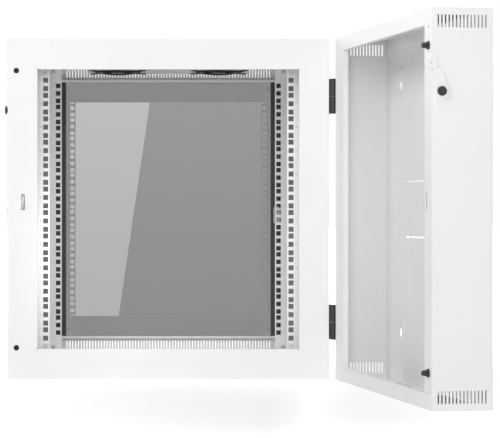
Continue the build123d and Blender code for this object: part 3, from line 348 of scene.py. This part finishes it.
def scatterGroup():
    tree, given, made = newTree("scatterOnPoints", "GeometryNodeTree", [
        ("Geometry", "NodeSocketGeometry", None),
        ("Pattern", "NodeSocketObject", None),
        ("Turn", "NodeSocketFloat", 0.0),
        ("Tilt", "NodeSocketFloat", 0.0),
        ("Length Spread", "NodeSocketFloat", 0.0),
        ("Seed", "NodeSocketInt", 1),
        ("Finish", "NodeSocketMaterial", None),
    ], [("Geometry", "NodeSocketGeometry")])

    def spread(limit, order):
        low = calc(tree, "MULTIPLY", limit, -1.0)
        seed = calc(tree, "ADD", given["Seed"], float(order))
        return addNode(tree, "FunctionNodeRandomValue", {2: low, 3: limit, 8: seed},
                       data_type="FLOAT").outputs[1]

    facing = addNode(tree, "GeometryNodeInputNamedAttribute", {"Name": "facing"},
                     data_type="FLOAT_VECTOR").outputs["Attribute"]
    aligned = addNode(tree, "FunctionNodeAlignRotationToVector", {"Vector": facing}, axis="Z").outputs[0]
    lean = addNode(tree, "ShaderNodeCombineXYZ", {0: spread(given["Tilt"], 1), 1: spread(given["Tilt"], 2),
                                                  2: spread(given["Turn"], 3)}).outputs[0]
    local = addNode(tree, "FunctionNodeEulerToRotation", {0: lean}).outputs[0]
    turned = addNode(tree, "FunctionNodeRotateRotation", {0: aligned, 1: local},
                     rotation_space="LOCAL").outputs[0]
    longer = calc(tree, "ADD", spread(given["Length Spread"], 4), 1.0)
    size = addNode(tree, "ShaderNodeCombineXYZ", {0: 1.0, 1: 1.0, 2: longer}).outputs[0]
    pattern = addNode(tree, "GeometryNodeObjectInfo", {"Object": given["Pattern"]}).outputs["Geometry"]
    copies = addNode(tree, "GeometryNodeInstanceOnPoints", {
        "Points": given["Geometry"], "Instance": pattern, "Rotation": turned, "Scale": size}).outputs[0]
    solid = addNode(tree, "GeometryNodeRealizeInstances", {"Geometry": copies}).outputs[0]
    dressed = addNode(tree, "GeometryNodeSetMaterial", {"Geometry": solid,
                                                        "Material": given["Finish"]}).outputs[0]
    tree.links.new(dressed, made["Geometry"])
    return tree


scatterOnPoints = scatterGroup()


def addPiece(name, mesh, body):
    piece = bpy.data.objects.new(name, mesh)
    bpy.context.scene.collection.objects.link(piece)
    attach(piece, body)
    return piece


smoothAngle = math.radians(38)  # edges sharper than this stay sharp


def scatter(name, rows, pattern, finish, spreads, body):
    points = bpy.data.meshes.new(name + "Points")
    points.from_pydata([place for place, way in rows], [], [])
    facing = points.attributes.new("facing", "FLOAT_VECTOR", "POINT")
    for index, (place, way) in enumerate(rows):
        facing.data[index].vector = way
    holder = bpy.data.objects.new(name + "Holder", points)
    bpy.context.scene.collection.objects.link(holder)
    modifier = holder.modifiers.new("scatter", "NODES")
    modifier.node_group = scatterOnPoints
    values = dict(spreads, Pattern=pattern, Finish=finishes[finish])
    for socket in scatterOnPoints.interface.items_tree:
        if socket.in_out == "INPUT" and socket.name in values:
            modifier[socket.identifier] = values[socket.name]
    evaluated = holder.evaluated_get(bpy.context.evaluated_depsgraph_get())
    mesh = bpy.data.meshes.new_from_object(evaluated)
    mesh.name = name
    mesh.shade_smooth()
    mesh.set_sharp_from_angle(angle=smoothAngle)
    holder.modifiers.remove(modifier)
    bpy.data.objects.remove(holder)
    return addPiece(name, mesh, body)


def patternObject(name, corners, faces):
    mesh = bpy.data.meshes.new(name)
    mesh.from_pydata([Vector(corner) * mm for corner in corners], [], faces)
    pattern = bpy.data.objects.new(name, mesh)
    bpy.context.scene.collection.objects.link(pattern)
    return pattern


def ringCorners(radius, rise, sides, shift=0.0):
    turns = [2 * math.pi * side / sides for side in range(sides)]
    return [(shift + radius * math.cos(turn), radius * math.sin(turn), rise) for turn in turns]


def ringWalls(rings, sides):
    # Faces between each ring of corners and the next
    return [(ring * sides + side, ring * sides + (side + 1) % sides,
             (ring + 1) * sides + (side + 1) % sides, (ring + 1) * sides + side)
            for ring in range(rings - 1) for side in range(sides)]


# A head's rings from the seat, sunk a little, up to the crown, and its recess: shares of radius and height
headSettings = {
    "rings": [(1.0, -0.3), (1.0, 0.2), (0.88, 0.62), (0.52, 0.92)], "sides": 16,
    "recessReach": 0.62, "recessHalfWidth": 0.14, "recessFloor": 0.3, "recessTop": 1.4,
}


def domedHead(name, radius, height, sides=headSettings["sides"]):
    corners = []
    for share, rise in headSettings["rings"]:
        corners += ringCorners(radius * share, height * rise, sides)
    last = len(corners) - sides
    corners.append((0, 0, height))
    faces = [tuple(reversed(range(sides)))] + ringWalls(len(headSettings["rings"]), sides)
    faces += [(last + side, last + (side + 1) % sides, len(corners) - 1) for side in range(sides)]
    return patternObject(name, corners, faces)


def crossHead(name, radius, height):
    given = headSettings
    head = domedHead(name + "Blank", radius, height)
    arm = radius * given["recessReach"]
    half = radius * given["recessHalfWidth"]
    outline = [(half, arm), (half, half), (arm, half), (arm, -half), (half, -half), (half, -arm),
               (-half, -arm), (-half, -half), (-arm, -half), (-arm, half), (-half, half), (-half, arm)]
    low = [(x, y, height * given["recessFloor"]) for x, y in outline]
    high = [(x, y, height * given["recessTop"]) for x, y in outline]
    count = len(outline)
    faces = [tuple(range(count)), tuple(reversed(range(count, 2 * count)))]
    faces += [(side, side + count, (side + 1) % count + count, (side + 1) % count) for side in range(count)]
    cutter = patternObject(name + "Cutter", low + high, faces)
    cut = head.modifiers.new("recess", "BOOLEAN")
    cut.operation = "DIFFERENCE"
    cut.solver = "EXACT"
    cut.object = cutter
    evaluated = head.evaluated_get(bpy.context.evaluated_depsgraph_get())
    mesh = bpy.data.meshes.new_from_object(evaluated)
    for used in (head, cutter):
        bpy.data.objects.remove(used)
    pattern = bpy.data.objects.new(name, mesh)
    bpy.context.scene.collection.objects.link(pattern)
    return pattern


# Screws and rivets, in millimetres of the closed cabinet

fastenerSettings = {
    "leafFace": -303.0, "leafMiddle": 211.0, "leafScrewSpacing": 40.0, "leafFromSeam": 15.7, "seam": -101.5,
    "leafRadius": 4.2, "leafHeight": 1.1,
    "flangeSide": 284.0, "flangeEnd": 289.0, "flangeRadius": 2.6, "flangeHeight": 1.3,
    "fanSide": 105.0, "fanCorner": 52.5, "guardRadius": 3.2, "guardHeight": 1.6, "guardWire": 2.0,
    "rivetSpacing": 14.0, "rivetRadius": 2.8, "rivetHeight": 1.2, "rivetInset": 8.0, "rivetSides": 12,
    "screwTurn": 1.2, "screwSeed": 5, "rivetSeed": 7,
}


def bodyRow(place, way):
    return bodyPlace(*[value * mm for value in place]), closedToOpen.to_3x3() @ Vector(way)


def wallRow(place, way):
    return Vector(place) * mm, Vector(way)


def addFasteners():
    given = fastenerSettings
    turning = {"Turn": given["screwTurn"], "Seed": given["screwSeed"]}
    leafHead = crossHead("leafHead", given["leafRadius"], given["leafHeight"])
    heights = [end * given["leafMiddle"] + step * given["leafScrewSpacing"] / 2
               for end in (-1, 1) for step in (-1, 1)]
    wallLeaf = [wallRow((given["leafFace"], given["seam"] + given["leafFromSeam"], height), (-1, 0, 0))
                for height in heights]
    bodyLeaf = [bodyRow((given["leafFace"], given["seam"] - given["leafFromSeam"], height), (-1, 0, 0))
                for height in heights]
    scatter("wallLeafScrews", wallLeaf, leafHead, "blackCasting", turning, "wall_section")
    scatter("bodyLeafScrews", bodyLeaf, leafHead, "blackCasting", turning, "equipment_body")

    flangeHead = crossHead("flangeHead", given["flangeRadius"], given["flangeHeight"])
    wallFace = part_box("wall_frame")[0].y / mm
    flange = [wallRow((given["flangeSide"], wallFace, end * given["flangeEnd"]), (0, -1, 0))
              for end in (-1, 1)]
    scatter("flangeScrews", flange, flangeHead, "zincSteel", turning, "wall_section")

    guardHead = crossHead("guardHead", given["guardRadius"], given["guardHeight"])
    guardLow, guardHigh = closedBox("fan_guards")
    guardMiddle = (guardLow.y + guardHigh.y) / 2 / mm
    padFace = guardHigh.z / mm - given["guardWire"]
    corners = [(side * given["fanSide"] + across * given["fanCorner"],
                guardMiddle + along * given["fanCorner"])
               for side in (-1, 1) for across in (-1, 1) for along in (-1, 1)]
    guard = [bodyRow((x, y, padFace), (0, 0, -1)) for x, y in corners]
    scatter("guardScrews", guard, guardHead, "zincSteel", turning, "equipment_body")

    rivetHead = domedHead("rivetHead", given["rivetRadius"], given["rivetHeight"], given["rivetSides"])
    rows = []
    for x0, x1, y0, z, end in bracketFeet():
        middle = (x0 + x1) / 2
        for step in (-1, 1):
            rows.append(bodyRow((middle + step * given["rivetSpacing"] / 2, y0 + given["rivetInset"], z),
                                (0, 0, -end)))
    scatter("bracketRivets", rows, rivetHead, "zincSteel", {"Seed": given["rivetSeed"]},
            "equipment_body")
    for pattern in (leafHead, flangeHead, guardHead, rivetHead):
        bpy.data.objects.remove(pattern)


# The rails and the feet of the brackets that hold them, in millimetres of the closed cabinet

railSettings = {
    "inner": 225.0, "bracketInset": 4.0, "bracketWidth": 28.0, "bracketFoot": 26.0, "sheet": 2.0,
    "sheetEnd": 316.0,
}


def railFaces():
    # The side of each rail's punched face that is turned to the wall
    rear = closedBox("rear_rail_free_side")[1].y / mm
    front = closedBox("front_rail_free_side")[0].y / mm + railSettings["sheet"]
    return rear, front


def bracketFeet():
    given = railSettings
    x0 = given["inner"] + given["bracketInset"]
    rows = []
    for face in railFaces():
        for side in (-1, 1):
            for end in (-1, 1):
                rows.append((side * x0, side * (x0 + given["bracketWidth"]),
                             face - given["sheet"] - given["bracketFoot"],
                             end * (given["sheetEnd"] - given["sheet"]), end))
    return rows


# Dark sockets behind the holes that the alignment pegs enter, in millimetres; their dark paint is painted
# shade, so the holes read dark

socketSettings = {"side": 284.0, "end": 259.0, "sheet": 1.5, "sunk": 0.05, "depth": 15.0, "wall": 1.0,
                  "mouthRadius": 5.7, "floorRadius": 5.3, "rimRadius": 8.5, "rimHeight": 1.2, "rimSlope": 0.5,
                  "sides": 16}


def socketPattern():
    # Up the outside to the rim at the mouth, then down the inside to the floor
    given = socketSettings
    mouth = given["sunk"]
    rim = -given["rimHeight"]
    profile = [(given["floorRadius"] + given["wall"], -given["depth"]),
               (given["mouthRadius"] + given["wall"], rim - given["rimSlope"]),
               (given["rimRadius"], rim), (given["rimRadius"], mouth), (given["mouthRadius"], mouth),
               (given["floorRadius"], given["wall"] - given["depth"])]
    sides = given["sides"]
    corners = []
    for radius, rise in profile:
        corners += ringCorners(radius, rise, sides)
    last = len(corners) - sides
    faces = [tuple(reversed(range(sides))), tuple(range(last, last + sides))]
    faces += ringWalls(len(profile), sides)
    return patternObject("socket", corners, faces)


def addPegSockets():
    given = socketSettings
    seat = closedBox("rear_frame")[1].y / mm - given["sheet"]
    rows = [bodyRow((given["side"], seat, end * given["end"]), (0, 1, 0)) for end in (-1, 1)]
    socket = socketPattern()
    # The dark paint in the sockets is painted shade
    scatter("pegSockets", rows, socket, "profilePaint", {}, "equipment_body")
    bpy.data.objects.remove(socket)


# Grey channels along the front rails' rear edges: painted shade, dark pieces set where the rail holes should
# look into shade

shadeStripSettings = {"inner": 250.0, "width": 14.5, "depth": 8.0, "sheet": 1.2, "halfLength": 276.0}


def addLacingBars():
    given = shadeStripSettings
    seat = closedBox("front_rail_free_side")[1].y / mm
    crown = seat + given["depth"]
    inner = given["inner"]
    outer = inner + given["width"]
    sheet = given["sheet"]
    section = [(inner, seat), (inner, crown), (outer, crown), (outer, seat), (outer - sheet, seat),
               (outer - sheet, crown - sheet), (inner + sheet, crown - sheet), (inner + sheet, seat)]
    # Three faces close each end of the channel
    walls = ringWalls(2, len(section))
    walls += [(7, 6, 1, 0), (6, 5, 2, 1), (5, 4, 3, 2), (8, 9, 14, 15), (9, 10, 13, 14), (10, 11, 12, 13)]
    corners = []
    faces = []
    for side in (-1, 1):
        first = len(corners)
        for height in (-given["halfLength"], given["halfLength"]):
            corners += [bodyPlace(side * x * mm, y * mm, height * mm) for x, y in section]
        for wall in walls:
            turned = wall if side < 0 else tuple(reversed(wall))
            faces.append([first + corner for corner in turned])
    mesh = bpy.data.meshes.new("lacingBars")
    mesh.from_pydata(corners, [], faces)
    mesh.materials.append(finishes["paintedShadeGrey"])
    addPiece("lacingBars", mesh, "equipment_body")


# Black strips on the body's hinge leaves, beside the lower knuckles

stripSettings = {"face": -303.0, "proud": 1.3, "sunk": 0.4, "nearSeam": -107.5, "width": 5.0, "bevel": 0.5,
                 "hinge": 211.0, "low": -31.5, "high": -1.0}


def addHingeStrips():
    given = stripSettings
    near = given["nearSeam"]
    far = near - given["width"]
    out = given["face"] - given["proud"]
    bevel = given["bevel"]
    section = [(given["face"] + given["sunk"], near), (out + bevel, near), (out, near - bevel),
               (out, far + bevel), (out + bevel, far), (given["face"] + given["sunk"], far)]
    corners = []
    faces = []
    count = len(section)
    for end in (-1, 1):
        first = len(corners)
        for height in (given["low"], given["high"]):
            corners += [bodyPlace(x * mm, y * mm, (end * given["hinge"] + height) * mm) for x, y in section]
        faces.append([first + corner for corner in reversed(range(count))])
        faces.append([first + count + corner for corner in range(count)])
        faces += [[first + corner for corner in wall] for wall in ringWalls(2, count)]
    mesh = bpy.data.meshes.new("hingeStrips")
    mesh.from_pydata(corners, [], faces)
    mesh.materials.append(finishes["blackCasting"])
    addPiece("hingeStrips", mesh, "equipment_body")


# Cable brushes: bristles in folded clamps along both long edges of each entry

brushSettings = {
    "entrySide": 136.5, "entryMiddle": -34.4, "rowLength": 109.0, "rootFromMiddle": 17.6, "level": 315.6,
    "pitch": 0.95, "layerGap": 0.7, "length": 17.0, "rootRadius": 0.28, "tipRadius": 0.1,
    "tilt": 0.035, "lengthSpread": 0.03, "seed": 31,
    "sides": 3, "bends": [(0.0, 0.0), (0.55, 0.15), (1.0, 0.6)],  # share of the length, and its bend there
    "clampDepth": 4.0, "clampHeight": 3.0, "clampSheet": 0.7,
}


def bristlePattern():
    # A tapered strand that bends a little toward its tip
    given = brushSettings
    sides = given["sides"]
    corners = []
    for share, bend in given["bends"]:
        radius = given["rootRadius"] + (given["tipRadius"] - given["rootRadius"]) * share
        corners += ringCorners(radius, given["length"] * share, sides, bend)
    last = len(corners) - sides
    faces = [tuple(reversed(range(sides))), tuple(range(last, last + sides))]
    faces += ringWalls(len(given["bends"]), sides)
    return patternObject("bristle", corners, faces)


def clampPattern():
    # A folded channel along X, its mouth toward +Z
    given = brushSettings
    half = given["clampHeight"] / 2
    inner = half - given["clampSheet"]
    back = given["clampSheet"]
    section = [(-half, -back), (half, -back), (half, given["clampDepth"]), (inner, given["clampDepth"]),
               (inner, 0), (-inner, 0), (-inner, given["clampDepth"]), (-half, given["clampDepth"])]
    reach = given["rowLength"] / 2
    corners = [(-reach, across, along) for across, along in section]
    corners += [(reach, across, along) for across, along in section]
    faces = [(0, 1, 4, 5), (1, 2, 3, 4), (0, 5, 6, 7), (9, 8, 13, 12), (10, 9, 12, 11), (13, 8, 15, 14)]
    faces += [tuple(reversed(wall)) for wall in ringWalls(2, len(section))]
    return patternObject("brushClamp", corners, faces)


def addBrushes():
    given = brushSettings
    strands = []
    clamps = []
    perRow = int(given["rowLength"] / given["pitch"])
    for side in (-1, 1):
        for end in (-1, 1):
            for edge in (-1, 1):
                root = given["entryMiddle"] + edge * given["rootFromMiddle"]
                clamps.append(wallRow((side * given["entrySide"], root, end * given["level"]), (0, -edge, 0)))
                for layer in (-1, 1):
                    for step in range(perRow):
                        x = side * given["entrySide"] + (step - perRow / 2 + 0.5 + layer / 4) * given["pitch"]
                        z = end * given["level"] + layer * given["layerGap"] / 2
                        strands.append(wallRow((x, root, z), (0, -edge, 0)))
    bristle = bristlePattern()
    clamp = clampPattern()
    spreads = {"Turn": math.pi, "Tilt": given["tilt"], "Length Spread": given["lengthSpread"],
               "Seed": given["seed"]}
    rows = scatter("brushBristles", strands, bristle, "bristleBlack", spreads,
                   "wall_section")
    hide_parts("cable_entry_brushes")
    scatter("brushClamps", clamps, clamp, "blackPlastic", {}, "wall_section")
    for pattern in (bristle, clamp):
        bpy.data.objects.remove(pattern)


# Unit numbers printed on the rails

numberSettings = {"units": 12, "unit": 44.45, "side": 242.3, "height": 4.2, "rise": 0.05, "curveSteps": 2}


def addUnitNumbers():
    given = numberSettings
    rearFace, frontFace = railFaces()
    frontFace -= railSettings["sheet"]
    corners = []
    faces = []
    bottom = -given["units"] * given["unit"] / 2
    for unit in range(1, given["units"] + 1):
        letters = bpy.data.curves.new("unitNumber", "FONT")
        letters.body = str(unit)
        letters.size = given["height"] * mm
        letters.align_x = "CENTER"
        letters.align_y = "CENTER"
        letters.resolution_u = given["curveSteps"]
        letters.extrude = given["rise"] * mm
        written = bpy.data.objects.new("unitNumber", letters)
        bpy.context.scene.collection.objects.link(written)
        evaluated = written.evaluated_get(bpy.context.evaluated_depsgraph_get())
        shape = bpy.data.meshes.new_from_object(evaluated)
        height = bottom + (unit - 0.5) * given["unit"]
        for face, way in ((rearFace, -1), (frontFace, 1)):
            for side in (-1, 1):
                first = len(corners)
                for vertex in shape.vertices:
                    across = side * given["side"] * mm + way * vertex.co.x
                    out = face * mm - way * vertex.co.z
                    corners.append(bodyPlace(across, out, height * mm + vertex.co.y))
                faces += [[first + corner for corner in polygon.vertices] for polygon in shape.polygons]
        bpy.data.objects.remove(written)
    mesh = bpy.data.meshes.new("unitNumbers")
    mesh.from_pydata(corners, [], faces)
    mesh.materials.append(finishes["printInk"])
    addPiece("unitNumbers", mesh, "equipment_body")


addFasteners()
addPegSockets()
addLacingBars()
addHingeStrips()
addBrushes()
addUnitNumbers()
print("small pieces placed")


# Room, light and camera

cameraSettings = {"distance": 3.794, "lens": 146.2, "sensor": 36.0, "shiftX": 0.1633, "shiftY": -0.0196,
                  "clipEnd": 200.0}
skyStrength = 0.17
# The floor glows a little to the camera alone, more with each distance, until it meets the white around it
floorSettings = {"size": 60.0, "drop": 0.0002, "colour": (0.95, 0.95, 0.95, 1), "roughness": 0.3,
                 "near": 0.6, "far": 1.5, "horizon": 5.0,
                 "nearLift": 0.25, "farLift": 0.54, "horizonLift": 0.5}
# Softboxes: metres out from the rear face, up, and to the right in the picture, then size and watts
lampSettings = {
    "frontSoftbox": (3.6, 0.9, 0.0, 2.0, 50.0),
    "leftSoftbox": (2.2, 2.3, -2.6, 1.8, 60.0),
    "highSoftbox": (1.6, 3.0, 0.4, 2.4, 12.0),
    "farLeftSoftbox": (-3.0, 1.8, -2.4, 2.4, 60.0),
    "farRightSoftbox": (-2.2, 1.6, 3.0, 2.4, 60.0),
    "innerSoftbox": (0.03, -0.08, -0.07, 0.2, 0.65),
}
hiddenFromGlass = ("frontSoftbox", "innerSoftbox")

faceCentre = bodyPlace(0, closedBox("rear_frame")[1].y, 0)
faceNormal = (closedToOpen.to_3x3() @ Vector((0, 1, 0))).normalized()
pictureRight = Vector((0, 0, 1)).cross(faceNormal)


def addCamera():
    given = cameraSettings
    data = bpy.data.cameras.new("photoCamera")
    data.sensor_width = given["sensor"]
    data.lens = given["lens"]
    data.shift_x = given["shiftX"]
    data.shift_y = given["shiftY"]
    data.clip_end = given["clipEnd"]
    camera = bpy.data.objects.new("photoCamera", data)
    camera.location = faceCentre + faceNormal * given["distance"]
    camera.rotation_euler = faceNormal.to_track_quat("Z", "Y").to_euler()
    bpy.context.scene.collection.objects.link(camera)
    bpy.context.scene.camera = camera


def addLamp(name, place, aim, size, power):
    data = bpy.data.lights.new(name, "AREA")
    data.shape = "SQUARE"
    data.size = size
    data.energy = power
    lamp = bpy.data.objects.new(name, data)
    lamp.location = place
    lamp.rotation_euler = (Vector(place) - Vector(aim)).to_track_quat("Z", "Y").to_euler()
    bpy.context.scene.collection.objects.link(lamp)
    return lamp


def addWorld():
    world = bpy.data.worlds.new("studio")
    bpy.context.scene.world = world
    world.use_nodes = True
    tree = world.node_tree
    tree.nodes.clear()
    sky = addNode(tree, "ShaderNodeBackground", {"Color": (1, 1, 1, 1), "Strength": skyStrength})
    white = addNode(tree, "ShaderNodeBackground", {"Color": (1, 1, 1, 1), "Strength": 1.0})
    path = addNode(tree, "ShaderNodeLightPath").outputs
    seen = calc(tree, "MAXIMUM", path["Is Camera Ray"], path["Is Glossy Ray"])
    seen = calc(tree, "MAXIMUM", seen, path["Is Transmission Ray"])
    mixed = addNode(tree, "ShaderNodeMixShader", {0: seen, 1: sky.outputs[0], 2: white.outputs[0]})
    addNode(tree, "ShaderNodeOutputWorld", {"Surface": mixed.outputs[0]})


def addFloor():
    given = floorSettings
    half = given["size"] / 2
    level = cadBox[0].z - given["drop"]
    mesh = bpy.data.meshes.new("floor")
    corners = [(-half, -half, level), (half, -half, level), (half, half, level), (-half, half, level)]
    mesh.from_pydata(corners, [], [(0, 1, 2, 3)])
    floor = bpy.data.objects.new("floor", mesh)
    bpy.context.scene.collection.objects.link(floor)
    material, tree, shader = newMaterial("floorWhite")
    shader.inputs["Base Color"].default_value = given["colour"]
    shader.inputs["Roughness"].default_value = given["roughness"]
    path = addNode(tree, "ShaderNodeLightPath").outputs
    place = addNode(tree, "ShaderNodeTexCoord").outputs["Object"]
    away = addNode(tree, "ShaderNodeVectorMath", {0: place}, operation="LENGTH").outputs["Value"]
    faded = addNode(tree, "ShaderNodeMapRange", {
        "Value": away, "From Min": given["near"], "From Max": given["far"],
        "To Min": given["nearLift"], "To Max": given["farLift"]}).outputs[0]
    beyond = addNode(tree, "ShaderNodeMapRange", {
        "Value": away, "From Min": given["far"], "From Max": given["horizon"],
        "To Min": 0.0, "To Max": given["horizonLift"]}).outputs[0]
    lift = calc(tree, "MULTIPLY", path["Is Camera Ray"], calc(tree, "ADD", faded, beyond))
    tree.links.new(lift, shader.inputs["Emission Strength"])
    shader.inputs["Emission Color"].default_value = (1, 1, 1, 1)
    mesh.materials.append(material)
    floor.visible_glossy = False
    floor.visible_transmission = False


# Cards that the glass mirrors, each brighter at its top. They stand behind the camera and meet at a slant:
# for each, where its top edge and its bottom edge begin and end to the camera's right, then the strengths
# at its bottom and its top
cardPlace = {"away": 1.6, "halfHeight": 0.6}  # metres
cardSettings = {
    "slantCard": ((-0.086, -1.4), (-0.262, -1.4), 1.44, 2.0),
    "greyCard": ((-0.086, 1.5), (-0.262, 1.5), 0.22, 0.58),
}


def addReflectionCard(name, topEdge, bottomEdge, lowStrength, highStrength):
    behind = faceCentre + faceNormal * (cameraSettings["distance"] + cardPlace["away"])
    reach = cardPlace["halfHeight"]
    outline = [(topEdge[0], reach), (bottomEdge[0], -reach), (bottomEdge[1], -reach), (topEdge[1], reach)]
    mesh = bpy.data.meshes.new(name)
    mesh.from_pydata([behind + pictureRight * right + Vector((0, 0, up)) for right, up in outline],
                     [], [(0, 1, 2, 3)])
    card = bpy.data.objects.new(name, mesh)
    bpy.context.scene.collection.objects.link(card)
    material = bpy.data.materials.new(name + "Glow")
    material.use_nodes = True
    tree = material.node_tree
    tree.nodes.clear()
    place = addNode(tree, "ShaderNodeTexCoord").outputs["Object"]
    height = addNode(tree, "ShaderNodeSeparateXYZ", {0: place}).outputs["Z"]
    strength = addNode(tree, "ShaderNodeMapRange", {
        "Value": height, "From Min": -reach, "From Max": reach, "To Min": lowStrength,
        "To Max": highStrength}).outputs[0]
    glow = addNode(tree, "ShaderNodeEmission", {"Color": (1, 1, 1, 1), "Strength": strength})
    addNode(tree, "ShaderNodeOutputMaterial", {"Surface": glow.outputs[0]})
    mesh.materials.append(material)
    card.visible_camera = False
    card.visible_diffuse = False
    card.visible_shadow = False
    card.visible_transmission = False


bpy.context.scene.view_settings.view_transform = "Standard"
addCamera()
addWorld()
addFloor()
for cardName, cardShape in cardSettings.items():
    addReflectionCard(cardName, *cardShape)
for lampName, (out, up, right, size, power) in lampSettings.items():
    beside = Vector((0, 0, up)) + pictureRight * right
    lampPlace = faceCentre + faceNormal * out + beside
    lampAim = lampPlace - faceNormal if lampName == "innerSoftbox" else faceCentre
    lamp = addLamp(lampName, lampPlace, lampAim, size, power)
    lamp.visible_camera = False
    if lampName in hiddenFromGlass:
        lamp.visible_glossy = False
        lamp.visible_transmission = False
print("room, light and camera set")
